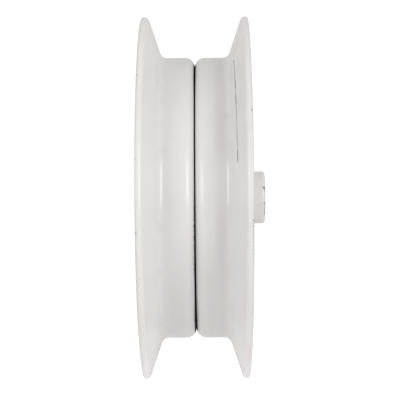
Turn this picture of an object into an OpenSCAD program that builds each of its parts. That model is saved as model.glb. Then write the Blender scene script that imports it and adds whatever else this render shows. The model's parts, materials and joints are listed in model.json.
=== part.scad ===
// Flanged strap pulley of two pressed steel shells, riveted web to web round one sealed ball bearing.
// The pulley turns about the Y axis. The origin is on that axis, in the plane where the two webs meet.
// Lengths are in millimetres, and +Y is the side where the long spacer bush stands out past the flange.

/* [Sheave] */
// Outside diameter of the flange rims
rim_d = 152; // [150:1:160]
// Diameter of the drum that the strap runs on
drum_d = 118; // [116:1:120]
// Axial distance from the middle plane to the corner where drum and flange meet
drum_half_w = 13.85; // [13:0.05:16]
// Lean of each flange away from square to the axis, in degrees
flange_lean = 18.5; // [14:0.5:22]
// Thickness of the pressed sheet
sheet_t = 2.7; // [2:0.1:3.2]
// Outside radius of the bend from web to drum
shoulder_r = 4.2; // [3.5:0.1:5]
// Radius of the groove corner between drum and flange
groove_r = 3.3; // [2:0.1:4]

/* [Rivets] */
// Number of rivets through the two webs
rivet_count = 6; // [4:1:8]
// Diameter of the circle that the rivets stand on
rivet_circle_d = 70; // [66:1:80]
// Diameter of a rivet's shank
rivet_d = 5; // [4:0.5:6]

/* [Bearing] */
// Bore of the ball bearing
bearing_bore = 17; // [17:1:17]
// Outside diameter of the ball bearing
bearing_d = 40; // [40:1:40]
// Width of the ball bearing
bearing_w = 12; // [12:1:12]
// Number of balls
ball_count = 8; // [6:1:8]
// Diameter of a ball
ball_d = 6.75; // [6:0.25:6.75]

/* [Spacer bushes] */
// Bore for the axle bolt
axle_d = 12.2; // [10.2:0.1:13]
// Outside diameter of both spacer bushes
bush_d = 22; // [20:0.5:24]
// Reach of the long bush from the middle plane
long_reach = 29; // [24:0.5:36]
// Reach of the short bush from the middle plane
short_reach = 12; // [9:0.5:20]

/* [Hidden] */
RIVETS = [for (i = [1:rivet_count]) str("rivet_", i)];
BALLS = [for (i = [1:ball_count]) str("ball_", i)];
SHARED = [
    "left_shell", "right_shell", "bearing_outer_ring", "bearing_inner_ring", "left_seal",
    "right_seal", "left_cage_half", "right_cage_half", "cage_rivets", "long_bush", "short_bush"
];

$fn = 96;
arc_step = 9;              // degrees of turn that each straight of a rounded corner takes
dome_steps = 6;            // straights from the foot of a rivet head to its crown
over = 1;                  // how far a cutting shape runs past what it cuts

rim_r = rim_d / 2;
drum_r = drum_d / 2;
drum_back_r = drum_r - sheet_t;
flange_out_w = sheet_t / cos(flange_lean);
rim_face_w = drum_half_w + (rim_r - drum_r) * tan(flange_lean);
rim_round_in = 1.9;        // rounding of the rim's edge on the groove side
rim_round_out = 0.9;       // rounding of the rim's edge on the outer side

bearing_r = bearing_d / 2;
bearing_half_w = bearing_w / 2;
pocket_lip_r = 17;         // the lip holds the bearing's outer ring endwise
pocket_bend_in = 0.6;
pocket_foot_bend = 0.8;
edge_round = 0.4;

pitch_r = 14.25;           // circle through the ball centres
ball_r = ball_d / 2;
ball_play = 0.01;          // radial play between a ball and each raceway
race_r = 0.52 * ball_d;    // a raceway is a little wider than its ball
outer_race_r = pitch_r + ball_r + ball_play;
inner_race_r = pitch_r - ball_r - ball_play;
outer_land_r = 16.25;
inner_land_r = 12.25;
ring_chamfer = 0.7;

seal_seat_r = 17.35;
seal_y0 = 4.9;
seal_y1 = 5.7;
seal_lip_play = 0.05;

cage_in_r = 12.95;
cage_out_r = 15.55;
cage_t = 0.6;
cage_play = 0.1;           // clearance between a ball and its pocket
cage_rivet_r = 0.5;
cage_rivet_head_r = 0.95;
cage_rivet_head_h = 0.35;
hole_play = 0.05;          // clearance between a rivet's shank and its hole

rivet_r = rivet_d / 2;
rivet_head_r = 4.75;
rivet_head_h = 2.4;

axle_r = axle_d / 2;
bush_r = bush_d / 2;
spigot_r = bearing_bore / 2;
bush_end_round = 1.2;
bore_chamfer = 0.5;

paint = [0.87, 0.865, 0.86];
bush_paint = [0.85, 0.83, 0.82];
zinc = [0.72, 0.73, 0.75];
ring_steel = [0.62, 0.63, 0.65];
ball_steel = [0.78, 0.79, 0.8];
cage_steel = [0.66, 0.62, 0.52];
seal_rubber = [0.09, 0.09, 0.1];

// ---- Outlines: a list of corners [radius from the axis, height, rounding] becomes a list of points ----
function unit(v) = v / norm(v);
function turn(a, b) = let (d = b - a) d > 180 ? d - 360 : d < -180 ? d + 360 : d;
function corner(prev, at, next, r) =
    let (
        p = [at.x, at.y],
        u = unit([prev.x, prev.y] - p),
        v = unit([next.x, next.y] - p),
        half = acos(u * v) / 2,
        centre = p + unit(u + v) * r / sin(half),
        from = p + u * r / tan(half) - centre,
        to = p + v * r / tan(half) - centre,
        start = atan2(from.y, from.x),
        sweep = turn(start, atan2(to.y, to.x)),
        steps = max(2, ceil(abs(sweep) / arc_step))
    )
    [for (i = [0:steps]) centre + r * [cos(start + sweep * i / steps), sin(start + sweep * i / steps)]];
function rounded(corners) =
    let (n = len(corners))
    [
        for (i = [0:n - 1])
            let (c = corners[i])
            for (p = c.z > 0 ? corner(corners[(i + n - 1) % n], c, corners[(i + 1) % n], c.z)
                             : [[c.x, c.y]])
                p
    ];

// Turns a shape made about Z so that it stands about the Y axis, with its heights along +Y.
module on_axle() {
    rotate([-90, 0, 0]) children();
}

module left_hand() {
    mirror([0, 1, 0]) children();
}

module ring_of(count, radius) {
    for (i = [0:count - 1])
        rotate([0, 0, 360 / count * i]) translate([radius, 0, 0]) children();
}

// ---- Pressed shells: their webs lie flat together, and a V is left between the bends at the drum ----
function shell_corners() = [
    [pocket_lip_r, bearing_half_w, edge_round],
    [bearing_r, bearing_half_w, pocket_bend_in],
    [bearing_r, 0, pocket_foot_bend + sheet_t],
    [drum_r, 0, shoulder_r],
    [drum_r, drum_half_w, groove_r],
    [rim_r, rim_face_w, rim_round_in],
    [rim_r, rim_face_w + flange_out_w, rim_round_out],
    [drum_back_r, drum_half_w - sheet_t * tan(flange_lean) + flange_out_w, groove_r + sheet_t],
    [drum_back_r, sheet_t, shoulder_r - sheet_t],
    [bearing_r + sheet_t, sheet_t, pocket_foot_bend],
    [bearing_r + sheet_t, bearing_half_w + sheet_t, pocket_bend_in + sheet_t],
    [pocket_lip_r, bearing_half_w + sheet_t, edge_round]
];

module shell() {
    color(paint)
        on_axle()
            difference() {
                rotate_extrude() polygon(rounded(shell_corners()));
                ring_of(rivet_count, rivet_circle_d / 2)
                    translate([0, 0, -over])
                        cylinder(h = sheet_t + 2 * over, r = rivet_r + hole_play);
            }
}

module left_shell() {
    left_hand() shell();
}

module right_shell() {
    shell();
}

// ---- Rivets through both webs, with a domed head on each side ----
function dome(foot_y, height, radius) =
    let (
        ball = (radius * radius + height * height) / (2 * height),
        spread = asin(radius / ball)
    )
    [
        for (i = [0:dome_steps - 1])
            let (a = spread * (1 - i / dome_steps))
            [ball * sin(a), foot_y + height - ball + ball * cos(a)]
    ];

module rivet(number) {
    head = dome(sheet_t, rivet_head_h, rivet_head_r);
    below = [for (i = [len(head) - 1:-1:0]) [head[i].x, -head[i].y]];
    outline = concat(
        [[0, -sheet_t - rivet_head_h]],
        below,
        [[rivet_r, -sheet_t], [rivet_r, sheet_t]],
        head,
        [[0, sheet_t + rivet_head_h]]
    );
    color(zinc)
        on_axle()
            rotate([0, 0, 360 / rivet_count * (number - 1)])
                translate([rivet_circle_d / 2, 0, 0])
                    rotate_extrude() polygon(outline);
}

// ---- Ball bearing ----
module ring_section(in_r, out_r) {
    h = bearing_half_w;
    c = ring_chamfer;
    polygon([
        [in_r, -h + c], [in_r + c, -h], [out_r - c, -h], [out_r, -h + c],
        [out_r, h - c], [out_r - c, h], [in_r + c, h], [in_r, h - c]
    ]);
}

module bearing_outer_ring() {
    color(ring_steel)
        on_axle()
            rotate_extrude()
                difference() {
                    ring_section(outer_land_r - ring_chamfer, bearing_r);
                    translate([outer_land_r - bearing_w, -bearing_w]) square([bearing_w, 2 * bearing_w]);
                    translate([outer_race_r - race_r, 0]) circle(r = race_r);
                    for (side = [-1, 1])
                        translate([outer_land_r - over, side > 0 ? seal_y0 : -bearing_half_w - over])
                            square([seal_seat_r - outer_land_r + over, bearing_half_w - seal_y0 + over]);
                }
}

module bearing_inner_ring() {
    color(ring_steel)
        on_axle()
            rotate_extrude()
                difference() {
                    ring_section(spigot_r, inner_land_r);
                    translate([inner_race_r + race_r, 0]) circle(r = race_r);
                }
}

module ball(number) {
    color(ball_steel)
        on_axle()
            rotate([0, 0, 360 / ball_count * (number - 1)])
                translate([pitch_r, 0, 0]) sphere(r = ball_r);
}

// A seal snaps into the outer ring and its thin lip runs on the inner ring.
function seal_corners() = [
    [inner_land_r + seal_lip_play, seal_y0 + 0.35, 0],
    [inner_land_r + 0.7, seal_y0 + 0.1, 0],
    [inner_land_r + 1.5, seal_y0, 0],
    [seal_seat_r, seal_y0, 0],
    [seal_seat_r, seal_y1, 0.3],
    [seal_seat_r - 0.9, seal_y1, 0],
    [seal_seat_r - 1.2, seal_y1 - 0.2, 0],
    [inner_land_r + 1.6, seal_y1 - 0.2, 0],
    [inner_land_r + 1.2, seal_y1, 0],
    [inner_land_r + seal_lip_play, seal_y1, 0]
];

module seal() {
    color(seal_rubber) on_axle() rotate_extrude() polygon(rounded(seal_corners()));
}

module left_seal() {
    left_hand() seal();
}

module right_seal() {
    seal();
}

// Radial bars through the balls' places, which shape the pockets of the cage inside and out.
module pocket_bars(radius) {
    for (i = [0:ball_count - 1])
        rotate([0, 0, 360 / ball_count * i])
            rotate([0, 90, 0]) cylinder(h = cage_out_r + over, r = radius);
}

// One pressed half of the ball cage: flats between the balls, and a half-round pocket over each ball.
module cage_half() {
    pocket_r = ball_r + cage_play;
    color(cage_steel)
        on_axle()
            difference() {
                intersection() {
                    rotate_extrude()
                        translate([cage_in_r, 0]) square([cage_out_r - cage_in_r, 2 * ball_r]);
                    union() {
                        cylinder(h = cage_t, r = cage_out_r + over);
                        pocket_bars(pocket_r + cage_t);
                    }
                }
                pocket_bars(pocket_r);
                rotate([0, 0, 180 / ball_count])
                    ring_of(ball_count, pitch_r)
                        translate([0, 0, -over])
                            cylinder(h = cage_t + 2 * over, r = cage_rivet_r + hole_play);
            }
}

module left_cage_half() {
    left_hand() cage_half();
}

module right_cage_half() {
    cage_half();
}

module cage_rivets() {
    color(cage_steel)
        on_axle()
            rotate([0, 0, 180 / ball_count])
                ring_of(ball_count, pitch_r) {
                    cylinder(h = 2 * cage_t, r = cage_rivet_r, center = true);
                    for (side = [-1, 1])
                        translate([0, 0, side > 0 ? cage_t : -cage_t - cage_rivet_head_h])
                            cylinder(h = cage_rivet_head_h, r = cage_rivet_head_r);
                }
}

// ---- Spacer bushes: a spigot in the bearing's bore, and a wide end that stands against its inner ring ----
module spacer_bush(reach, end_round) {
    on_axle()
        rotate_extrude()
            polygon(rounded([
                [axle_r, 0, 0],
                [spigot_r, 0, edge_round],
                [spigot_r, bearing_half_w, 0],
                [bush_r, bearing_half_w, edge_round],
                [bush_r, reach, end_round],
                [axle_r + bore_chamfer, reach, 0],
                [axle_r, reach - bore_chamfer, 0]
            ]));
}

module long_bush() {
    color(bush_paint) spacer_bush(long_reach, bush_end_round);
}

module short_bush() {
    color(bush_paint) left_hand() spacer_bush(short_reach, edge_round);
}

left_shell();
right_shell();
bearing_outer_ring();
bearing_inner_ring();
left_seal();
right_seal();
left_cage_half();
right_cage_half();
cage_rivets();
long_bush();
short_bush();
for (i = [1:rivet_count])
    rivet(i);
for (i = [1:ball_count])
    ball(i);
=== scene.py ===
import json
import math

import bmesh
import bpy
from mathutils import Matrix, Vector


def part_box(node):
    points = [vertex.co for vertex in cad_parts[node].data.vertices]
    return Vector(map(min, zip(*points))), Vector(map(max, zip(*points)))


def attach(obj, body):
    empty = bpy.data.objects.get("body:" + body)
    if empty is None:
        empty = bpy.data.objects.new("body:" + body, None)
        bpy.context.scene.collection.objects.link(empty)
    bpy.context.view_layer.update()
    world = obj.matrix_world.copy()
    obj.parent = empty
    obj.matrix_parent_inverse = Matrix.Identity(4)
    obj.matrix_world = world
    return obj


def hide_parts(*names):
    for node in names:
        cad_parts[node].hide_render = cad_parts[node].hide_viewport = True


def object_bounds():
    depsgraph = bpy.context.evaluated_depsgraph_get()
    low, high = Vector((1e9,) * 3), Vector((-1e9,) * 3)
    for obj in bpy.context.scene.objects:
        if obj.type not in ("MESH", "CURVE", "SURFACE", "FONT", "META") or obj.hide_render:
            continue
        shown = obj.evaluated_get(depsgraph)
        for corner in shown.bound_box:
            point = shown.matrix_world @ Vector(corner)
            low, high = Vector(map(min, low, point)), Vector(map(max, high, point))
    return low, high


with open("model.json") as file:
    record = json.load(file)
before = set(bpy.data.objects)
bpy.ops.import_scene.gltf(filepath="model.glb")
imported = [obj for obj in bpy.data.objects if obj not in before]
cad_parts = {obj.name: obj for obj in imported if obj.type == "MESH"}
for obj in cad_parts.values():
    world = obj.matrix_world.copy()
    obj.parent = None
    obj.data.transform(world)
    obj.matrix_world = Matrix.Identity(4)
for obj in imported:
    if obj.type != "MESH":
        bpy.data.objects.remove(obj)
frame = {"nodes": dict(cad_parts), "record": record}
cad_low, cad_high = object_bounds()

MM = 0.001
DEG = math.pi / 180


# ---------------------------------------------------------------- sizes from the frame
def reach(node):
    """How far a turned CAD node reaches from the axis, and its lowest and highest place along the axis."""
    low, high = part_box(node)
    return high.x, low.y, high.y


RIM_R, _, SHELL_W = reach("right_shell")
BEARING_R, _, BEARING_HALF_W = reach("bearing_outer_ring")
INNER_LAND_R = reach("bearing_inner_ring")[0]
BUSH_R, _, LONG_REACH = reach("long_bush")
SHORT_REACH = -reach("short_bush")[1]
SEAL_SEAT_R, SEAL_Y0, SEAL_Y1 = reach("right_seal")

# What the boxes don't say, as in the CAD source.
DRUM_R = 59 * MM
DRUM_HALF_W = 13.85 * MM
FLANGE_LEAN = 18.5 * DEG
SHEET_T = 2.7 * MM
SHOULDER_R = 4.2 * MM
LONG_BUSH_ROUND = 1.2 * MM
SHORT_BUSH_ROUND = 0.4 * MM
GROOVE_R = 3.3 * MM
LIP_R = 17 * MM
AXLE_R = 6.1 * MM
SPIGOT_R = 8.5 * MM
OUTER_LAND_R = 16.25 * MM
PITCH_R = 14.25 * MM
RACE_DEPTH_R = 3.385 * MM      # from the pitch circle to the bottom of a raceway
RACE_R = 3.51 * MM
RING_EDGE = 0.7 * MM           # rounding of the bearing rings' corners
RIVET_CIRCLE_R = 35 * MM
RIVET_COUNT = 6
RIVET_R = 2.5 * MM
RIVET_HEAD_R = 4.75 * MM
RIVET_HEAD_H = 2.4 * MM
HOLE_R = RIVET_R + 0.05 * MM

ROUND = 240                    # straights round a shell
RING_ROUND = 180               # straights round a bearing ring or a seal
BUSH_ROUND = 144               # straights round a bush
RIVET_ROUND = 48               # straights round a rivet
ARC_STEP = 5 * DEG             # turn of each straight of a rounded corner
SHARP_EDGE = 28 * DEG          # faces that meet more sharply than this are shaded as an edge
ON_AXIS = 1e-7                 # a radius below this counts as none


# ---------------------------------------------------------------- turned meshes
def arc(centre, radius, start, end):
    """Points (radius from the axis, place along it) on an arc, from one angle to another."""
    steps = max(2, math.ceil(abs(end - start) / ARC_STEP))
    angles = [start + (end - start) * i / steps for i in range(steps + 1)]
    return [(centre[0] + radius * math.cos(a), centre[1] + radius * math.sin(a)) for a in angles]


def corner(before, at, after, radius):
    """The arc that rounds one corner of an outline."""
    p = Vector(at)
    u = (Vector(before) - p).normalized()
    v = (Vector(after) - p).normalized()
    half = u.angle(v) / 2
    centre = p + (u + v).normalized() * radius / math.sin(half)
    start = p + u * radius / math.tan(half) - centre
    end = p + v * radius / math.tan(half) - centre
    first = math.atan2(start.y, start.x)
    sweep = (math.atan2(end.y, end.x) - first + math.pi) % (2 * math.pi) - math.pi
    return arc(centre, radius, first, first + sweep)


def rounded(corners):
    """An outline from corners (radius, place along the axis, rounding)."""
    points = []
    for i, (r, y, rounding) in enumerate(corners):
        if rounding > 0:
            before = corners[i - 1][:2]
            after = corners[(i + 1) % len(corners)][:2]
            points += corner(before, (r, y), after, rounding)
        else:
            points.append((r, y))
    return points


def ring_verts(bm, r, y, count=ROUND):
    """A ring of vertices about the Y axis, or one vertex where the outline meets the axis."""
    if r < ON_AXIS:
        return [bm.verts.new((0, y, 0))]
    angles = [2 * math.pi * i / count for i in range(count)]
    return [bm.verts.new((r * math.cos(a), y, r * math.sin(a))) for a in angles]


def skin_rings(bm, a, b):
    """Faces between two rings, either of which may be a single vertex."""
    count = max(len(a), len(b))
    for i in range(count):
        j = (i + 1) % count
        if len(a) == 1:
            bm.faces.new((a[0], b[j], b[i]))
        elif len(b) == 1:
            bm.faces.new((a[i], a[j], b[0]))
        else:
            bm.faces.new((a[i], a[j], b[j], b[i]))


def finished(name, bm, body, material, replaced):
    """Turns a bmesh into a smooth piece that rides on a CAD body, in place of a CAD node."""
    bmesh.ops.recalc_face_normals(bm, faces=bm.faces)
    mesh = bpy.data.meshes.new(name)
    bm.to_mesh(mesh)
    bm.free()
    mesh.polygons.foreach_set("use_smooth", [True] * len(mesh.polygons))
    mesh.set_sharp_from_angle(angle=SHARP_EDGE)
    piece = bpy.data.objects.new(name, mesh)
    bpy.context.scene.collection.objects.link(piece)
    mesh.materials.append(material)
    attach(piece, body)
    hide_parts(replaced)
    return piece


def mirrored(outline):
    """The same outline on the other side of the middle plane, run the other way."""
    return [(r, -y) for r, y in reversed(outline)]


def turned(outline, count=ROUND, closed=True):
    """A solid turned about the Y axis from an outline. An open outline starts and ends on the axis."""
    bm = bmesh.new()
    rings = [ring_verts(bm, r, y, count) for r, y in outline]
    pairs = zip(rings, rings[1:] + rings[:1]) if closed else zip(rings, rings[1:])
    for a, b in pairs:
        skin_rings(bm, a, b)
    return bm


# ---------------------------------------------------------------- pressed shells
WEB_IN_R = 29 * MM             # the flat ring of the web that holds the rivet holes
WEB_OUT_R = 41 * MM


def shell_corners():
    """The right shell's section, from the bearing lip out over the groove to the rim and back inside."""
    flange_w = SHEET_T / math.cos(FLANGE_LEAN)
    rim_face = DRUM_HALF_W + (RIM_R - DRUM_R) * math.tan(FLANGE_LEAN)
    back_r = DRUM_R - SHEET_T
    back_corner = DRUM_HALF_W - SHEET_T * math.tan(FLANGE_LEAN) + flange_w
    bend = 0.6 * MM
    foot_bend = 0.8 * MM
    edge = 0.4 * MM
    rim_inner_edge = 1.9 * MM
    rim_outer_edge = 0.9 * MM
    front = [
        (LIP_R, BEARING_HALF_W, edge),
        (BEARING_R, BEARING_HALF_W, bend),
        (BEARING_R, 0, foot_bend + SHEET_T),
        (WEB_IN_R, 0, 0),
        (WEB_OUT_R, 0, 0),
        (DRUM_R, 0, SHOULDER_R),
        (DRUM_R, DRUM_HALF_W, GROOVE_R),
        (RIM_R, rim_face, rim_inner_edge),
    ]
    back = [
        (RIM_R, rim_face + flange_w, rim_outer_edge),
        (back_r, back_corner, GROOVE_R + SHEET_T),
        (back_r, SHEET_T, SHOULDER_R - SHEET_T),
        (WEB_OUT_R, SHEET_T, 0),
        (WEB_IN_R, SHEET_T, 0),
        (BEARING_R + SHEET_T, SHEET_T, foot_bend),
        (BEARING_R + SHEET_T, BEARING_HALF_W + SHEET_T, bend + SHEET_T),
        (LIP_R, BEARING_HALF_W + SHEET_T, edge),
    ]
    return front + back


def holed_web(bm, inner, outer, side_y):
    """The flat ring of the web, with a round hole for each rivet. It gives back the rings of the holes."""
    per_hole = ROUND // RIVET_COUNT
    radial_steps = 8
    step = (WEB_OUT_R - WEB_IN_R) / radial_steps
    holes = []
    spokes = []
    for k in range(RIVET_COUNT):
        a = 2 * math.pi * (k - 0.5) / RIVET_COUNT
        first = round((k - 0.5) * per_hole) % ROUND
        radii = [WEB_IN_R + step * s for s in range(1, radial_steps)]
        middle = [bm.verts.new((r * math.cos(a), side_y, r * math.sin(a))) for r in radii]
        spokes.append([inner[first], *middle, outer[first]])
    for k in range(RIVET_COUNT):
        start = round((k - 0.5) * per_hole)
        outer_run = [outer[(start + i) % ROUND] for i in range(1, per_hole)]
        inner_run = [inner[(start + i) % ROUND] for i in range(1, per_hole)]
        border = spokes[k] + outer_run + spokes[(k + 1) % RIVET_COUNT][::-1] + inner_run[::-1]
        a = 2 * math.pi * k / RIVET_COUNT
        centre = Vector((RIVET_CIRCLE_R * math.cos(a), side_y, RIVET_CIRCLE_R * math.sin(a)))
        hole = [bm.verts.new(centre + (v.co - centre).normalized() * HOLE_R) for v in border]
        for i in range(len(border)):
            j = (i + 1) % len(border)
            bm.faces.new((border[i], border[j], hole[j], hole[i]))
        holes.append(hole)
    return holes


def shell(name, side, material):
    """One pressed half of the wheel, with true holes for the rivets."""
    outline = [(r, side * y) for r, y in rounded(shell_corners())]
    bm = bmesh.new()
    rings = [ring_verts(bm, r, y) for r, y in outline]
    web = [i for i, (r, y) in enumerate(outline) if r in (WEB_IN_R, WEB_OUT_R)]
    front_in, front_out, back_out, back_in = web
    for i in range(len(rings)):
        if i not in (front_in, back_out):
            skin_rings(bm, rings[i], rings[(i + 1) % len(rings)])
    front_holes = holed_web(bm, rings[front_in], rings[front_out], 0)
    back_holes = holed_web(bm, rings[back_in], rings[back_out], side * SHEET_T)
    for a, b in zip(front_holes, back_holes):
        skin_rings(bm, a, b)
    return finished(name, bm, "wheel", material, name)


# ---------------------------------------------------------------- the other turned pieces
def rivet_outline():
    """A domed rivet, from the tip of one head to the tip of the other."""
    ball = (RIVET_HEAD_R**2 + RIVET_HEAD_H**2) / (2 * RIVET_HEAD_H)
    spread = math.asin(RIVET_HEAD_R / ball)
    top_centre = (0, SHEET_T + RIVET_HEAD_H - ball)
    top = arc(top_centre, ball, math.pi / 2, math.pi / 2 - spread)
    top[0] = (0, SHEET_T + RIVET_HEAD_H)
    half = top + [(RIVET_R, SHEET_T)]
    return half + mirrored(half)


def rivet(number, material):
    """One of the rivets, at its place on the rivet circle."""
    bm = turned(rivet_outline(), count=RIVET_ROUND, closed=False)
    a = 2 * math.pi * (number - 1) / RIVET_COUNT
    place = Vector((RIVET_CIRCLE_R * math.cos(a), 0, -RIVET_CIRCLE_R * math.sin(a)))
    bmesh.ops.translate(bm, verts=bm.verts, vec=place)
    name = f"rivet_{number}"
    return finished(name, bm, "wheel", material, name)


def bush(name, side, length, end_round, material):
    """A spacer bush: a spigot in the bearing's bore, and a wide end that stands against its inner ring."""
    lead = 0.5 * MM
    outline = rounded([
        (AXLE_R, 0, 0.15 * MM),
        (SPIGOT_R, 0, 0.4 * MM),
        (SPIGOT_R, BEARING_HALF_W, 0),
        (BUSH_R, BEARING_HALF_W, 0.4 * MM),
        (BUSH_R, length, end_round),
        (AXLE_R + lead, length, 0.12 * MM),
        (AXLE_R, length - lead, 0.12 * MM),
    ])
    bm = turned([(r, side * y) for r, y in outline], count=BUSH_ROUND)
    return finished(name, bm, "hub", material, name)


def raceway(side, land):
    """A raceway's arc up to its ring's land, on the outer (+1) or the inner (-1) side of the balls."""
    centre = PITCH_R + side * RACE_DEPTH_R - side * RACE_R
    half = math.acos(abs(land - centre) / RACE_R)
    middle = 0 if side > 0 else math.pi
    return arc((centre, 0), RACE_R, middle - half, middle + half)


def outer_ring_outline():
    """The outer ring's section: the raceway, a seat for each seal, and the rounded outside."""
    h = BEARING_HALF_W
    lead = 0.15 * MM
    seat = [
        (OUTER_LAND_R, SEAL_Y0),
        (SEAL_SEAT_R, SEAL_Y0),
        (SEAL_SEAT_R, h - lead),
        (SEAL_SEAT_R + lead, h),
    ]
    inward = BEARING_R - 2 * RING_EDGE
    outside = rounded([
        (inward, h, 0),
        (BEARING_R, h, RING_EDGE),
        (BEARING_R, -h, RING_EDGE),
        (inward, -h, 0),
    ])
    return raceway(1, OUTER_LAND_R) + seat + outside[1:-1] + mirrored(seat)


def inner_ring_outline():
    """The inner ring's section: the rounded bore, the two faces, and the raceway in its land."""
    h = BEARING_HALF_W
    soft = 0.2 * MM
    middle = (INNER_LAND_R, 0)
    section = rounded([
        (SPIGOT_R, -h, RING_EDGE),
        (SPIGOT_R, h, RING_EDGE),
        (INNER_LAND_R, h, soft),
        (*middle, 0),
        (INNER_LAND_R, -h, soft),
    ])
    cut = section.index(middle)
    return section[:cut] + raceway(-1, INNER_LAND_R) + section[cut + 1:]


def bearing_ring(name, outline, body, material):
    """One ring of the bearing."""
    return finished(name, turned(outline, count=RING_ROUND), body, material, name)


def seal(name, side, material):
    """A moulded seal: its bead snaps into the outer ring, and its thin lip runs on the inner ring."""
    lip = INNER_LAND_R + 0.05 * MM
    y0, y1 = SEAL_Y0, SEAL_Y1
    sunk = y1 - 0.25 * MM
    ridge = sunk + 0.12 * MM
    soft = 0.1 * MM
    outline = rounded([
        (lip, y0 + 0.35 * MM, 0.05 * MM),
        (lip + 0.7 * MM, y0 + 0.1 * MM, 0.2 * MM),
        (lip + 1.4 * MM, y0, 0),
        (SEAL_SEAT_R, y0, soft),
        (SEAL_SEAT_R, y1, 0.3 * MM),
        (SEAL_SEAT_R - 0.8 * MM, y1, soft),
        (SEAL_SEAT_R - 1.1 * MM, sunk, soft),
        (SEAL_SEAT_R - 2.0 * MM, sunk, soft),
        (SEAL_SEAT_R - 2.2 * MM, ridge, soft),
        (SEAL_SEAT_R - 2.6 * MM, ridge, soft),
        (SEAL_SEAT_R - 2.8 * MM, sunk, soft),
        (lip + 1.4 * MM, sunk, soft),
        (lip + 1.1 * MM, y1, soft),
        (lip, y1, 0.08 * MM),
    ])
    bm = turned([(r, side * y) for r, y in outline], count=RING_ROUND)
    return finished(name, bm, "wheel", material, name)


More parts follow.
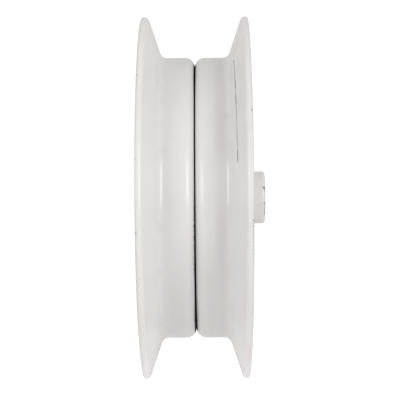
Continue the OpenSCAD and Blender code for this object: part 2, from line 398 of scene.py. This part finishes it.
# ---------------------------------------------------------------- material graphs
class Graph:
    """The nodes of one material, with short ways to add and link them."""

    def __init__(self, name):
        self.material = bpy.data.materials.new(name)
        self.material.use_nodes = True
        self.tree = self.material.node_tree
        self.tree.nodes.clear()
        self.position = self.node("ShaderNodeTexCoord").outputs["Object"]
        split = self.node("ShaderNodeSeparateXYZ", {"Vector": self.position})
        self.x, self.axial, self.z = split.outputs
        self.radius = self.math("SQRT", self.math("ADD", self.math("MULTIPLY", self.x, self.x),
                                                  self.math("MULTIPLY", self.z, self.z)))
        self.angle = self.math("ARCTAN2", self.z, self.x)

    def node(self, kind, inputs=None, **settings):
        """A new node. Settings are its own properties, and inputs are values or links for its sockets."""
        made = self.tree.nodes.new(kind)
        for key, value in settings.items():
            setattr(made, key, value)
        for key, value in (inputs or {}).items():
            self.feed(made.inputs[key], value)
        return made

    def feed(self, socket, value):
        """Links another node's output to a socket, or sets the socket's plain value."""
        if isinstance(value, bpy.types.NodeSocket):
            self.tree.links.new(value, socket)
        else:
            socket.default_value = value

    def math(self, operation, *values):
        """The outcome of a sum on values or other nodes' outputs."""
        made = self.node("ShaderNodeMath", operation=operation)
        for socket, value in zip(made.inputs, values):
            self.feed(socket, value)
        return made.outputs[0]

    def noise(self, size, detail=2.0, vector=None):
        """Noise whose lumps are about size metres across, from 0 to 1."""
        sockets = {"Vector": vector or self.position, "Scale": 1 / size, "Detail": detail}
        return self.node("ShaderNodeTexNoise", sockets).outputs["Fac"]

    def rise(self, value, low, high, out_low=0.0, out_high=1.0):
        """A smooth step from out_low to out_high as value goes from low to high."""
        made = self.node("ShaderNodeMapRange", interpolation_type="SMOOTHSTEP")
        for socket, v in zip(made.inputs, (value, low, high, out_low, out_high)):
            self.feed(socket, v)
        return made.outputs[0]

    def streaks(self, width, length):
        """Fine lines that run round the axis, as turning and rubbing leave them."""
        unit = self.node("ShaderNodeVectorMath", {0: self.flat_direction()}, operation="SCALE")
        self.feed(unit.inputs["Scale"], DRUM_R / length)
        across = self.node("ShaderNodeCombineXYZ", {"Y": self.math("DIVIDE", self.axial, width)})
        ends = {0: unit.outputs[0], 1: across.outputs[0]}
        place = self.node("ShaderNodeVectorMath", ends, operation="ADD")
        made = self.node("ShaderNodeTexNoise", {"Vector": place.outputs[0], "Scale": 1.0, "Detail": 1.0},
                         noise_dimensions="4D")
        self.feed(made.inputs["W"], self.math("DIVIDE", self.radius, width))
        return made.outputs["Fac"]

    def stretched_place(self):
        """A stretched place, so that noise comes out as long faint wipe marks at a slant."""
        turn = self.node("ShaderNodeMapping", {"Vector": self.position, "Rotation": (0.0, 0.6, 0.0),
                                               "Scale": (1 / (30 * MM), 1.0, 1 / (1.2 * MM))})
        return turn.outputs[0]

    def flat_direction(self):
        """The direction out from the axis, as a unit vector."""
        not_axial = (1.0, 0.0, 1.0)
        flat = self.node("ShaderNodeVectorMath", {0: self.position, 1: not_axial}, operation="MULTIPLY")
        return self.node("ShaderNodeVectorMath", {0: flat.outputs[0]}, operation="NORMALIZE").outputs[0]

    def blend(self, factor, first, second):
        """The first colour where the factor is 0, and the second where it is 1."""
        made = self.node("ShaderNodeMix", data_type="RGBA")
        factor_in, first_in, second_in, colour_out = 0, 6, 7, 2
        self.feed(made.inputs[factor_in], factor)
        self.feed(made.inputs[first_in], first)
        self.feed(made.inputs[second_in], second)
        return made.outputs[colour_out]

    def larger(self, *masks):
        """The largest of several masks."""
        out = masks[0]
        for mask in masks[1:]:
            out = self.math("MAXIMUM", out, mask)
        return out

    def both(self, *masks):
        """The product of masks or values."""
        out = masks[0]
        for mask in masks[1:]:
            out = self.math("MULTIPLY", out, mask)
        return out

    def band(self, value, middle, half, fade):
        """1 within half of the middle, and 0 from fade further out."""
        off = self.math("ABSOLUTE", self.math("SUBTRACT", value, middle))
        return self.rise(off, half, half + fade, 1.0, 0.0)

    def bump(self, height, depth, normal=None):
        """Relief of a height field from 0 to 1 that is depth metres deep."""
        made = self.node("ShaderNodeBump", {"Strength": 1.0, "Distance": depth, "Height": height})
        if normal is not None:
            self.feed(made.inputs["Normal"], normal)
        return made.outputs[0]

    def spots(self, places):
        """Marks at places (radius, axial place, angle, size, strength), each with a ragged edge."""
        ragged = 0.35
        wobble = self.node("ShaderNodeTexNoise", {"Vector": self.position, "Scale": 1 / (0.9 * MM)})
        found = []
        for radius, axial, angle, size, strength in places:
            centre = (radius * math.cos(angle), axial, radius * math.sin(angle))
            gap = self.node("ShaderNodeVectorMath", {0: self.position, 1: centre}, operation="DISTANCE")
            edge = self.math("MULTIPLY_ADD", wobble.outputs["Fac"], -2 * ragged * size, gap.outputs["Value"])
            found.append(self.rise(edge, -ragged * size, size * (1 - ragged), strength, 0.0))
        return self.larger(*found)

    def surface(self, colour, roughness, normal, **fixed):
        """Ends the graph in a Principled shader. What is the same all over is set on its own socket."""
        shader = self.node("ShaderNodeBsdfPrincipled")
        self.feed(shader.inputs["Base Color"], colour)
        self.feed(shader.inputs["Roughness"], roughness)
        self.feed(shader.inputs["Normal"], normal)
        for key, value in fixed.items():
            shader.inputs[key.replace("_", " ")].default_value = value
        out = self.node("ShaderNodeOutputMaterial")
        self.tree.links.new(shader.outputs[0], out.inputs["Surface"])
        return self.material


def rgb(r, g, b):
    """An opaque linear colour."""
    return (r, g, b, 1.0)


def grey(value):
    """The same value in all three channels, for a plain grey or for a roughness that is blended."""
    return rgb(value, value, value)


# ---------------------------------------------------------------- paint
PAINT = rgb(0.77, 0.757, 0.748)
PAINT_WARM = rgb(0.745, 0.722, 0.706)
PAINT_COOL = rgb(0.762, 0.768, 0.765)
# Dirt and dust, and the colour of painted shade on the right flange and in the dishes.
GRIME_AND_SHADE = rgb(0.30, 0.275, 0.25)
BARE_STEEL = rgb(0.10, 0.095, 0.09)
SCUFFED_STEEL = rgb(0.22, 0.215, 0.21)
RUST = rgb(0.22, 0.11, 0.06)
# Near-black for the seam: bare steel, and painted shade in the crevice where the halves meet.
SEAM_BARE_AND_SHADE_BLACK = rgb(0.012, 0.012, 0.013)
STRAP_RUB = rgb(0.70, 0.685, 0.67)
# A darker, pinker tint for the drum's lower front.
LOW_FRONT_TINT = rgb(0.742, 0.706, 0.694)
# The colour of the painted shade on the drum.
DRUM_PAINTED_SHADE = rgb(0.703, 0.678, 0.668)
BORE_STEEL = rgb(0.36, 0.355, 0.35)
BUSH_TINT = rgb(0.83, 0.79, 0.782)
PAINT_IOR = 1.5
WORN_ROUGHNESS = grey(0.6)     # where paint has gone from the shells
BUSH_ROUGHNESS = grey(0.45)    # where it has gone from the bushes


def paint_base(g):
    """Sprayed semi-gloss white: its colour wanders a little, and it has a fine orange peel."""
    drift = g.noise(22 * MM, detail=3.0)
    tint = g.noise(55 * MM, detail=1.0)
    colour = g.blend(g.rise(drift, 0.35, 0.7, 0.0, 0.55), PAINT, PAINT_WARM)
    colour = g.blend(g.rise(tint, 0.45, 0.7, 0.0, 0.6), colour, PAINT_COOL)
    peel = g.noise(1.6 * MM, detail=1.5)
    sag = g.noise(14 * MM, detail=1.0)
    normal = g.bump(sag, 0.05 * MM, g.bump(peel, 0.006 * MM))
    roughness = g.rise(drift, 0.3, 0.7, 0.21, 0.27)
    return colour, roughness, normal


# In these tables lengths are in millimetres and angles in degrees, from the front (+X) and positive upward.
# Worn spots on the rims: (side, angle, size, strength).
RIM_CHIPS = [
    (-1, 38, 0.45, 0.9), (-1, 35, 0.35, 0.7), (-1, 11, 0.4, 0.6), (-1, -9.7, 0.5, 1), (-1, -16, 0.45, 0.6),
    (-1, -24, 0.45, 0.6), (-1, -39, 0.45, 0.6), (-1, 118, 0.7, 1), (-1, 171, 0.6, 1), (-1, 243, 0.8, 1),
    (1, 25.5, 0.75, 1), (1, 3, 0.3, 0.5), (1, -6.3, 0.6, 0.9), (1, -7.2, 0.5, 0.6), (1, -8, 0.5, 0.6),
    (1, -9.2, 0.45, 0.45), (1, -10, 0.5, 0.6), (1, -11.2, 0.5, 0.45), (1, -12.5, 0.5, 0.6),
    (1, -13.6, 0.5, 0.4), (1, -14.8, 0.5, 0.5), (1, -16, 0.45, 0.5), (1, -17.5, 0.5, 0.4),
    (1, -19, 0.45, 0.5), (1, -55, 0.4, 0.6), (1, 97, 0.7, 1), (1, 152, 0.5, 1), (1, 214, 0.8, 1),
]
# Specks on the groove side: (radius, place along the axis, angle, size, strength).
GROOVE_SPECKS = [
    (59.0, 12.4, 67.5, 0.75, 0.5), (59.0, 12.5, 47, 0.28, 0.9), (61.8, 14.8, 26.5, 0.25, 0.5),
    (61.5, 14.7, 19, 0.25, 0.5), (59.0, 9.4, 19.4, 0.2, 0.5), (59.0, -9.0, -52, 0.3, 0.5),
    (75.9, -20.9, -24.9, 0.35, 0.8), (75.9, -20.7, -23.4, 0.35, 0.6),
    (66.0, -16.2, 141, 0.4, 0.5), (59.0, 7.5, 188, 0.35, 0.5),
]
# Rust that has bled into the paint about the start of the scratch, in the same terms.
RUST_BLEED = [(64.4, 15.6, 57.5, 4.5, 0.11), (64.4, 15.6, 57.2, 0.9, 0.75), (66.5, 16.4, 63.5, 7.0, 0.09)]
# Painted shade on the upper right flange, beside the scratch, in the same terms.
FLANGE_PAINTED_SHADE = [(68.5, 17.0, 48, 12, 0.05), (69.0, 17.5, 32, 13, 0.08), (70.0, 18.5, 18, 11, 0.04)]
SCRATCH_START = 57.6 * DEG
SCRATCH_END = 11.3 * DEG
SCRATCH_R = 64.5 * MM          # where it starts, on the right flange
SCRATCH_SLOPE = 2.2 * MM       # how much further out it is for each radian that it runs
# Where the scratch has gone through to the steel: (middle, half length), both angles in degrees.
SCRATCH_DASHES = [(56.8, 1.4), (42.5, 2.4), (35.2, 2.3), (13.6, 2.1)]
SEAM_HALF = 0.28 * MM          # half the width of the dark line where the halves meet: bare steel, and painted shade of the crevice
SHADE_BAND_Y = 9.8 * MM        # where a band of painted shade runs round the right half of the drum, where the right flange shades it


def from_table(places):
    """Places (radius, axial place, angle, size, strength) in metres and radians."""
    return [(r * MM, y * MM, a * DEG, size * MM, strength) for r, y, a, size, strength in places]


def groove_side(g):
    """1 on the faces that a strap can touch, and 0 on the dish faces behind them."""
    from_middle = g.math("ABSOLUTE", g.axial)
    beyond_drum = g.math("SUBTRACT", g.radius, DRUM_R)
    beyond_edge = g.math("SUBTRACT", from_middle, DRUM_HALF_W)
    into_flange = g.math("SUBTRACT", g.math("MULTIPLY", beyond_edge, math.cos(FLANGE_LEAN)),
                         g.math("MULTIPLY", beyond_drum, math.sin(FLANGE_LEAN)))
    into_drum = g.math("SUBTRACT", DRUM_R, g.radius)
    skin = g.math("LESS_THAN", g.larger(into_flange, into_drum), 1.0 * MM)
    beside_seam = g.math("LESS_THAN", from_middle, 1.5 * MM)
    return g.larger(skin, beside_seam)


def scratch_mask(g):
    """One long thin circumferential scratch on the right flange, darker where it is deep."""
    along = g.math("SUBTRACT", SCRATCH_START, g.angle)
    line = g.math("MULTIPLY_ADD", along, SCRATCH_SLOPE, SCRATCH_R)
    thin = g.band(g.radius, line, 0.25 * MM, 0.36 * MM)
    fade = 1.0 * DEG
    dashes = [g.band(g.angle, at * DEG, half * DEG - fade / 2, fade) for at, half in SCRATCH_DASHES]
    faint = g.rise(g.noise(5 * MM, detail=3.0), 0.35, 0.60, 0.40, 0.66)
    begins = g.math("GREATER_THAN", SCRATCH_START, g.angle)
    ends = g.math("GREATER_THAN", g.angle, SCRATCH_END)
    right = g.math("GREATER_THAN", g.axial, DRUM_HALF_W)
    return g.both(thin, begins, ends, right, g.larger(faint, *dashes))


def seam_bare_and_shade_mask(g):
    """The dark V where the halves meet: bare steel, and near-black painted shade of the crevice. It is wider
    below, where paint has flaked off its left edge.
    """
    # Away from the front, beyond 38 degrees up or down, the dark line is drawn wider.
    wider_away_from_front = g.rise(g.math("ABSOLUTE", g.angle), 38 * DEG, 60 * DEG, 1.0, 0.7)
    off_middle = g.both(g.axial, wider_away_from_front)
    low = g.rise(g.angle, 5 * DEG, -25 * DEG)
    off_left = g.math("MULTIPLY_ADD", low, 0.15 * MM, off_middle)
    left_edge = g.rise(off_left, -SEAM_HALF - 0.10 * MM, -SEAM_HALF + 0.02 * MM)
    right_edge = g.rise(off_middle, SEAM_HALF - 0.06 * MM, SEAM_HALF, 1.0, 0.0)
    slit = g.both(left_edge, right_edge)
    flakes = g.noise(0.9 * MM, detail=4.0)
    flaked_to = g.math("MULTIPLY_ADD", flakes, -2.6 * MM, 0.70 * MM)
    flaked = g.both(g.math("GREATER_THAN", g.axial, flaked_to), g.math("LESS_THAN", g.axial, 0.0),
                    g.rise(g.angle, -33 * DEG, -29 * DEG), g.rise(g.angle, -12 * DEG, 8 * DEG, 1.0, 0.0))
    shoulder = g.rise(g.radius, DRUM_R - 2.4 * MM, DRUM_R - 1.2 * MM, 0.6, 0.0)
    return g.larger(slit, g.both(flaked, shoulder))


def drum_tint_and_painted_shade(g, groove):
    """Two masks on the drum: a darker, pinker tint on its lower front, and painted shade in a band round its
    right half and low on its front.
    """
    on_drum = g.both(groove, g.rise(g.radius, DRUM_R + 0.5 * MM, DRUM_R + 3.0 * MM, 1.0, 0.0))
    low_front = g.both(g.rise(g.angle, 6 * DEG, -38 * DEG), g.rise(g.angle, -120 * DEG, -85 * DEG))
    flat = g.band(g.math("ABSOLUTE", g.axial), 7.5 * MM, 1.5 * MM, 3.5 * MM)
    below = g.both(flat, g.rise(g.angle, -20 * DEG, -50 * DEG), low_front)
    patchy = g.rise(g.noise(30 * MM), 0.3, 0.6, 0.7, 1.0)
    # The band of painted shade is left off near the front middle, where the highlight falls.
    shade_off_at_highlight = g.math("MULTIPLY_ADD", g.band(g.angle, 5 * DEG, 7 * DEG, 9 * DEG), -0.85, 1.0)
    edge = g.both(g.band(g.axial, SHADE_BAND_Y, 0.6 * MM, 2.6 * MM), shade_off_at_highlight)
    return g.both(on_drum, low_front, patchy), g.both(on_drum, g.larger(edge, below), patchy)


def dish_mask(g, groove):
    """Darker patches in the dishes: painted shade mixed with dirt in the creases at the rivet heads, the
    housing's foot and the outer corner, and wipe marks.
    """
    sector = 2 * math.pi / RIVET_COUNT
    from_rivet = g.math("PINGPONG", g.angle, sector / 2)
    across = g.both(g.radius, g.math("SINE", from_rivet))
    outward = g.math("SUBTRACT", g.both(g.radius, g.math("COSINE", from_rivet)), RIVET_CIRCLE_R)
    from_centre = g.math("SQRT", g.math("ADD", g.both(across, across), g.both(outward, outward)))
    round_head = g.both(g.band(from_centre, RIVET_HEAD_R, 0.25 * MM, 1.1 * MM), 0.32)
    foot = g.both(g.band(g.radius, BEARING_R + SHEET_T + 0.3 * MM, 0.4 * MM, 2.2 * MM), 0.26)
    outer_corner = g.both(g.band(g.radius, DRUM_R - SHEET_T - 1.0 * MM, 0.8 * MM, 3.0 * MM), 0.18)
    patchy = g.rise(g.noise(5 * MM, detail=4.0), 0.38, 0.68)
    wipes = g.rise(g.noise(1.0, vector=g.stretched_place(), detail=3.0), 0.60, 0.72, 0.0, 0.05)
    darkening = g.larger(g.both(patchy, g.larger(round_head, foot, outer_corner)), wipes)
    low_web = g.math("LESS_THAN", g.math("ABSOLUTE", g.axial), SHEET_T + 2.5 * MM)
    return g.both(g.math("SUBTRACT", 1.0, groove), low_web, darkening)


def rim_masks(g):
    """Two masks at the rims: the grey of handling on their outer edges, and the chips and nicks."""
    handled = g.rise(g.math("ABSOLUTE", g.axial), SHELL_W - 1.7 * MM, SHELL_W - 0.2 * MM, 0.0, 0.13)
    handled = g.both(handled, g.math("GREATER_THAN", g.radius, RIM_R - 2.5 * MM))
    chip_r = RIM_R - 0.25 * MM
    chip_y = SHELL_W - 0.3 * MM
    places = [(chip_r, side * chip_y, a * DEG, size * MM, strength) for side, a, size, strength in RIM_CHIPS]
    edge = g.rise(g.radius, RIM_R - 0.5 * MM, RIM_R - 0.15 * MM)
    nicks = g.both(edge, g.rise(g.noise(2.6 * MM, detail=4.0), 0.70, 0.76, 0.0, 0.8))
    return handled, g.larger(g.spots(places), nicks)


def corner_masks(g, groove):
    """Two masks at the groove's corners: how near a corner is, and the dust that lies there."""
    off_r = g.math("ABSOLUTE", g.math("SUBTRACT", g.radius, DRUM_R + 0.6 * MM))
    off_y = g.math("ABSOLUTE", g.math("SUBTRACT", g.math("ABSOLUTE", g.axial), DRUM_HALF_W))
    near = g.both(groove, g.rise(g.math("ADD", off_r, off_y), 0.8 * MM, 4.0 * MM, 1.0, 0.0))
    return near, g.both(near, g.rise(g.noise(6 * MM, detail=4.0), 0.42, 0.75, 0.0, 0.10))


def shell_paint():
    """Paint on the pressed shells, with a tint and painted shade on the drum, painted shade on the upper
    right flange and in the seam, painted shade and dirt in the dishes, dust in the groove's corners, and
    chipped rims.
    """
    g = Graph("shell_paint")
    colour, roughness, normal = paint_base(g)
    groove = groove_side(g)

    rub = g.rise(g.streaks(1.1 * MM, 120 * MM), 0.52, 0.8, 0.0, 0.08)
    colour = g.blend(g.both(groove, rub), colour, STRAP_RUB)
    # The drum's lower front is tinted darker and pinker, and painted shade is laid in a band round its right
    # half and low on its front.
    low_front_tint, darkening = drum_tint_and_painted_shade(g, groove)
    colour = g.blend(low_front_tint, colour, LOW_FRONT_TINT)
    colour = g.blend(darkening, colour, DRUM_PAINTED_SHADE)

    near_corner, dust = corner_masks(g, groove)
    colour = g.blend(dust, colour, GRIME_AND_SHADE)
    roughness = g.math("MULTIPLY_ADD", near_corner, -0.11, roughness)
    colour = g.blend(g.spots(from_table(GROOVE_SPECKS)), colour, GRIME_AND_SHADE)

    colour = g.blend(g.both(groove, g.spots(from_table(RUST_BLEED))), colour, RUST)
    # Painted shade on the upper right flange.
    colour = g.blend(g.both(groove, g.spots(from_table(FLANGE_PAINTED_SHADE))), colour, GRIME_AND_SHADE)
    scratch = g.both(groove, scratch_mask(g))
    rusty = g.rise(g.angle, SCRATCH_START - 3 * DEG, SCRATCH_START - 1.5 * DEG)
    colour = g.blend(g.both(scratch, 0.85), colour, g.blend(rusty, BARE_STEEL, RUST))

    # Painted shade mixed with dirt in the dishes' creases, and wipe marks.
    colour = g.blend(dish_mask(g, groove), colour, GRIME_AND_SHADE)
    handled, worn = rim_masks(g)
    colour = g.blend(handled, colour, GRIME_AND_SHADE)
    colour = g.blend(worn, colour, BARE_STEEL)

    # The seam: bare steel, and near-black painted shade of the crevice.
    seam_bare_and_shade = seam_bare_and_shade_mask(g)
    colour = g.blend(seam_bare_and_shade, colour, SEAM_BARE_AND_SHADE_BLACK)
    roughness = g.blend(g.larger(seam_bare_and_shade, worn), roughness, WORN_ROUGHNESS)
    normal = g.bump(g.larger(scratch, worn), -0.05 * MM, normal)
    return g.surface(colour, roughness, normal, IOR=PAINT_IOR)


# Chips on the long bush, at and near its end edge: (how far in from the end, angle, size, strength).
BUSH_CHIPS = [
    (0.7, 21.7, 0.85, 1), (0.35, 21.5, 0.9, 1), (0.3, 18.5, 0.65, 1), (0.3, 15.8, 0.55, 0.9),
    (0.28, 13, 0.45, 0.7), (0.25, 10.5, 0.4, 0.5), (0.35, -12.6, 0.9, 1), (1.3, -13.5, 0.5, 0.24),
    (1.8, -21.7, 0.45, 0.34), (2.6, -18.3, 0.45, 0.32), (3.4, -19.4, 0.4, 0.2), (2.1, -15.5, 0.35, 0.24),
    (0.4, 84, 0.4, 1),
    (0.5, 152, 0.5, 1), (1.2, 156, 0.3, 0.8), (0.4, 231, 0.5, 1), (0.4, 300, 0.4, 1),
]


def bush_edge_radius(inward):
    """How far the long bush's skin is from the axis, at a distance in from its rounded end."""
    short = max(0.0, LONG_BUSH_ROUND - inward)
    return BUSH_R - LONG_BUSH_ROUND + math.sqrt(LONG_BUSH_ROUND**2 - short**2)


def bush_paint():
    """Paint on the hub bushes, rubbed off along the long one's end edge, and bare steel in the bore."""
    g = Graph("bush_paint")
    colour, roughness, normal = paint_base(g)
    colour = g.blend(0.6, colour, BUSH_TINT)
    places = []
    for inward, angle, size, strength in BUSH_CHIPS:
        radius = bush_edge_radius(inward * MM)
        places.append((radius, LONG_REACH - inward * MM, angle * DEG, size * MM, strength))
    chips = g.spots(places)
    edge_in = 0.35 * MM
    edge_r = g.math("SUBTRACT", g.radius, BUSH_R - edge_in)
    edge_y = g.math("SUBTRACT", g.axial, LONG_REACH - edge_in)
    off_edge = g.larger(g.math("ABSOLUTE", edge_r), g.math("ABSOLUTE", edge_y))
    on_edge = g.rise(off_edge, 0.15 * MM, 0.45 * MM, 1.0, 0.0)
    rubbed = g.both(on_edge, g.rise(g.noise(7 * MM, detail=4.0), 0.42, 0.62, 0.0, 0.15))
    below = g.both(g.rise(g.angle, -48 * DEG, -40 * DEG), g.rise(g.angle, -14 * DEG, -11 * DEG, 1.0, 0.0))
    scuffed = g.both(on_edge, below, g.rise(g.noise(1.1 * MM, detail=3.0), 0.3, 0.6, 0.2, 0.6))
    end = g.band(g.math("ABSOLUTE", g.axial), LONG_REACH, 0.05 * MM, 0.25 * MM)
    contact = g.both(end, g.rise(g.streaks(0.5 * MM, 30 * MM), 0.5, 0.62, 0.0, 0.5))
    worn = g.larger(chips, rubbed, scuffed, contact)
    steel = g.blend(g.rise(g.noise(1.2 * MM), 0.4, 0.6), SCUFFED_STEEL, BARE_STEEL)
    colour = g.blend(worn, colour, steel)
    bore = g.rise(g.radius, AXLE_R + 0.05 * MM, AXLE_R + 0.35 * MM, 1.0, 0.0)
    colour = g.blend(bore, colour, BORE_STEEL)
    roughness = g.blend(g.larger(worn, bore), roughness, BUSH_ROUGHNESS)
    normal = g.bump(worn, -0.04 * MM, normal)
    return g.surface(colour, roughness, normal, IOR=PAINT_IOR)


def rivet_paint():
    """Paint over the hammered rivet heads, with a few specks."""
    g = Graph("rivet_paint")
    colour, roughness, normal = paint_base(g)
    hammered = g.noise(1.9 * MM, detail=2.0)
    specks = g.rise(g.noise(0.8 * MM, detail=3.0), 0.68, 0.74, 0.0, 0.5)
    colour = g.blend(specks, colour, GRIME_AND_SHADE)
    normal = g.bump(hammered, 0.05 * MM, normal)
    return g.surface(colour, roughness, normal, IOR=PAINT_IOR)


# ---------------------------------------------------------------- steel and rubber
def ground_steel(name, tone, roughness, line_width):
    """Turned or ground steel: fine lines round the axis, with a light film of oil in patches."""
    g = Graph(name)
    lines = g.streaks(line_width, 30 * MM)
    film = g.noise(5 * MM, detail=3.0)
    dark = rgb(*(0.72 * c for c in tone))
    colour = g.blend(g.rise(lines, 0.3, 0.7, 0.0, 0.6), rgb(*tone), dark)
    oily = g.rise(film, 0.35, 0.7, -0.05, 0.08)
    shine = g.math("ADD", oily, g.rise(lines, 0.3, 0.7, roughness, roughness + 0.1))
    normal = g.bump(lines, 0.003 * MM)
    return g.surface(colour, shine, normal, Metallic=1.0)


def pressed_cage_steel():
    """Pressed strip, a little yellow and pitted, as a ball cage is."""
    g = Graph("cage_steel")
    mottle = g.noise(1.4 * MM, detail=4.0)
    colour = g.blend(g.rise(mottle, 0.35, 0.65), rgb(0.62, 0.56, 0.44), rgb(0.48, 0.43, 0.34))
    normal = g.bump(mottle, 0.01 * MM)
    return g.surface(colour, g.rise(mottle, 0.3, 0.7, 0.32, 0.48), normal, Metallic=1.0)


def polished_steel():
    """Lapped bearing balls: near mirror, with faint polishing marks and a film of grease."""
    g = Graph("ball_steel")
    marks = g.noise(0.5 * MM, detail=3.0)
    grease = g.noise(2.5 * MM, detail=2.0)
    colour = g.blend(g.rise(grease, 0.5, 0.7, 0.0, 0.5), rgb(0.78, 0.79, 0.8), rgb(0.66, 0.64, 0.56))
    return g.surface(colour, g.rise(marks, 0.3, 0.7, 0.06, 0.14), g.bump(marks, 0.001 * MM), Metallic=1.0)


def moulded_rubber():
    """Black seal rubber, with a fine moulded grain and pale dust."""
    g = Graph("seal_rubber")
    grain = g.noise(0.35 * MM, detail=2.0)
    dust = g.rise(g.noise(3 * MM, detail=4.0), 0.48, 0.75, 0.0, 0.45)
    colour = g.blend(dust, rgb(0.018, 0.018, 0.019), rgb(0.11, 0.105, 0.10))
    normal = g.bump(grain, 0.02 * MM)
    return g.surface(colour, g.rise(grain, 0.3, 0.7, 0.55, 0.72), normal, Specular_IOR_Level=0.4)


materials = {
    "shell_paint": shell_paint(),
    "bush_paint": bush_paint(),
    "rivet_paint": rivet_paint(),
    "bearing_steel": ground_steel("bearing_steel", (0.60, 0.61, 0.63), 0.22, 0.09 * MM),
    "ball_steel": polished_steel(),
    "cage_steel": pressed_cage_steel(),
    "seal_rubber": moulded_rubber(),
}


# ---------------------------------------------------------------- the pulley
shell("left_shell", -1, materials["shell_paint"])
shell("right_shell", 1, materials["shell_paint"])
for number in range(1, RIVET_COUNT + 1):
    rivet(number, materials["rivet_paint"])
bush("long_bush", 1, LONG_REACH, LONG_BUSH_ROUND, materials["bush_paint"])
bush("short_bush", -1, SHORT_REACH, SHORT_BUSH_ROUND, materials["bush_paint"])
seal("left_seal", -1, materials["seal_rubber"])
seal("right_seal", 1, materials["seal_rubber"])
bearing_ring("bearing_outer_ring", outer_ring_outline(), "wheel", materials["bearing_steel"])
bearing_ring("bearing_inner_ring", inner_ring_outline(), "hub", materials["bearing_steel"])

slot_of = {part["node"]: part["material_slot"] for part in frame["record"]["subparts"]}
for node, piece in frame["nodes"].items():
    for slot in piece.material_slots:
        slot.material = materials[slot_of[node]]


# ---------------------------------------------------------------- floor, light and camera
# Glow painted into the floor under the wheel, standing in for light thrown back up: (strength, full out to
# here, gone by here), in metres.
FLOOR_GLOW = [(0.19, 0.03, 0.09), (0.267, 0.06, 0.30)]
FLOOR_LIFT = 0.60              # added to what the camera sees of the floor, so that it meets the background
WHITE = grey(1.0)


def stage_floor():
    """A plain pale floor under the rims, which meets the white background without an edge, and glows under
    the wheel to light it from below.
    """
    size = 6.0
    mesh = bpy.data.meshes.new("floor")
    corners = [(-size, -size, 0), (size, -size, 0), (size, size, 0), (-size, size, 0)]
    mesh.from_pydata([Vector(c) for c in corners], [], [(0, 1, 2, 3)])
    floor = bpy.data.objects.new("floor", mesh)
    floor.location.z = cad_low.z
    bpy.context.scene.collection.objects.link(floor)
    g = Graph("floor")
    tone = g.noise(0.4, detail=2.0)
    colour = g.blend(g.rise(tone, 0.3, 0.7), grey(0.60), grey(0.62))
    normal = g.bump(g.noise(2 * MM), 0.01 * MM)
    away = g.node("ShaderNodeVectorMath", {0: g.position}, operation="LENGTH").outputs["Value"]
    glow_under_wheel = g.math("ADD", *[g.rise(away, near, far, strength, 0.0) for strength, near, far in FLOOR_GLOW])
    seen = g.node("ShaderNodeLightPath").outputs["Is Camera Ray"]
    material = g.surface(colour, 0.8, normal, Emission_Color=WHITE)
    shader = g.tree.nodes["Principled BSDF"]
    g.feed(shader.inputs["Emission Strength"], g.math("MULTIPLY_ADD", seen, FLOOR_LIFT, glow_under_wheel))
    mesh.materials.append(material)


def softbox(name, azimuth, elevation, distance, width, height, power):
    """A rectangular soft light. Azimuth is from the camera's side, and positive to its right."""
    a, e = azimuth * DEG, elevation * DEG
    toward = Vector((math.cos(a) * math.cos(e), math.sin(a) * math.cos(e), math.sin(e)))
    light = bpy.data.lights.new(name, "AREA")
    light.shape = "RECTANGLE"
    light.size, light.size_y = width, height
    light.energy = power
    lamp = bpy.data.objects.new(name, light)
    lamp.location = toward * distance
    lamp.rotation_mode = "QUATERNION"
    lamp.rotation_quaternion = toward.to_track_quat("Z", "Y")
    bpy.context.scene.collection.objects.link(lamp)


def world_light(seen, ambient):
    """A white background for the camera, and an even ambient light for the object."""
    world = bpy.data.worlds.new("studio")
    bpy.context.scene.world = world
    world.use_nodes = True
    tree = world.node_tree
    tree.nodes.clear()
    path = tree.nodes.new("ShaderNodeLightPath")
    mix = tree.nodes.new("ShaderNodeMixShader")
    out = tree.nodes.new("ShaderNodeOutputWorld")
    tree.links.new(path.outputs["Is Camera Ray"], mix.inputs[0])
    for socket, strength in ((mix.inputs[1], ambient), (mix.inputs[2], seen)):
        back = tree.nodes.new("ShaderNodeBackground")
        back.inputs["Color"].default_value = WHITE
        back.inputs["Strength"].default_value = strength
        tree.links.new(back.outputs[0], socket)
    tree.links.new(mix.outputs[0], out.inputs["Surface"])


def camera(distance, lens, beside, aim, roll):
    """A long lens square to the groove, a little to the right of the wheel's middle plane."""
    data = bpy.data.cameras.new("camera")
    data.lens = lens
    data.sensor_width = 36.0
    data.clip_start, data.clip_end = 0.01, 50.0
    made = bpy.data.objects.new("camera", data)
    made.location = (distance, beside, 0)
    made.rotation_mode = "QUATERNION"
    look = Vector(aim) - made.location
    made.rotation_quaternion = look.to_track_quat("-Z", "Y") @ Matrix.Rotation(roll, 4, "Z").to_quaternion()
    bpy.context.scene.collection.objects.link(made)
    bpy.context.scene.camera = made


# name, azimuth and elevation in degrees, distance, width and height in metres, power in watts
SOFTBOXES = [
    ("right_box", 42, 9, 1.2, 0.45, 0.60, 4.26),
    ("right_scrim", 34, 9, 1.2, 0.45, 1.2, 1.08),
    ("left_box", -40, 9, 1.2, 0.45, 0.60, 3.48),
]

stage_floor()
for box in SOFTBOXES:
    softbox(*box)
world_light(seen=1.05, ambient=0.686)
camera(distance=0.5582, lens=118.5, beside=4.39 * MM, aim=(0, 1.71 * MM, -0.94 * MM), roll=-0.4 * DEG)
bpy.context.scene.view_settings.view_transform = "Standard"
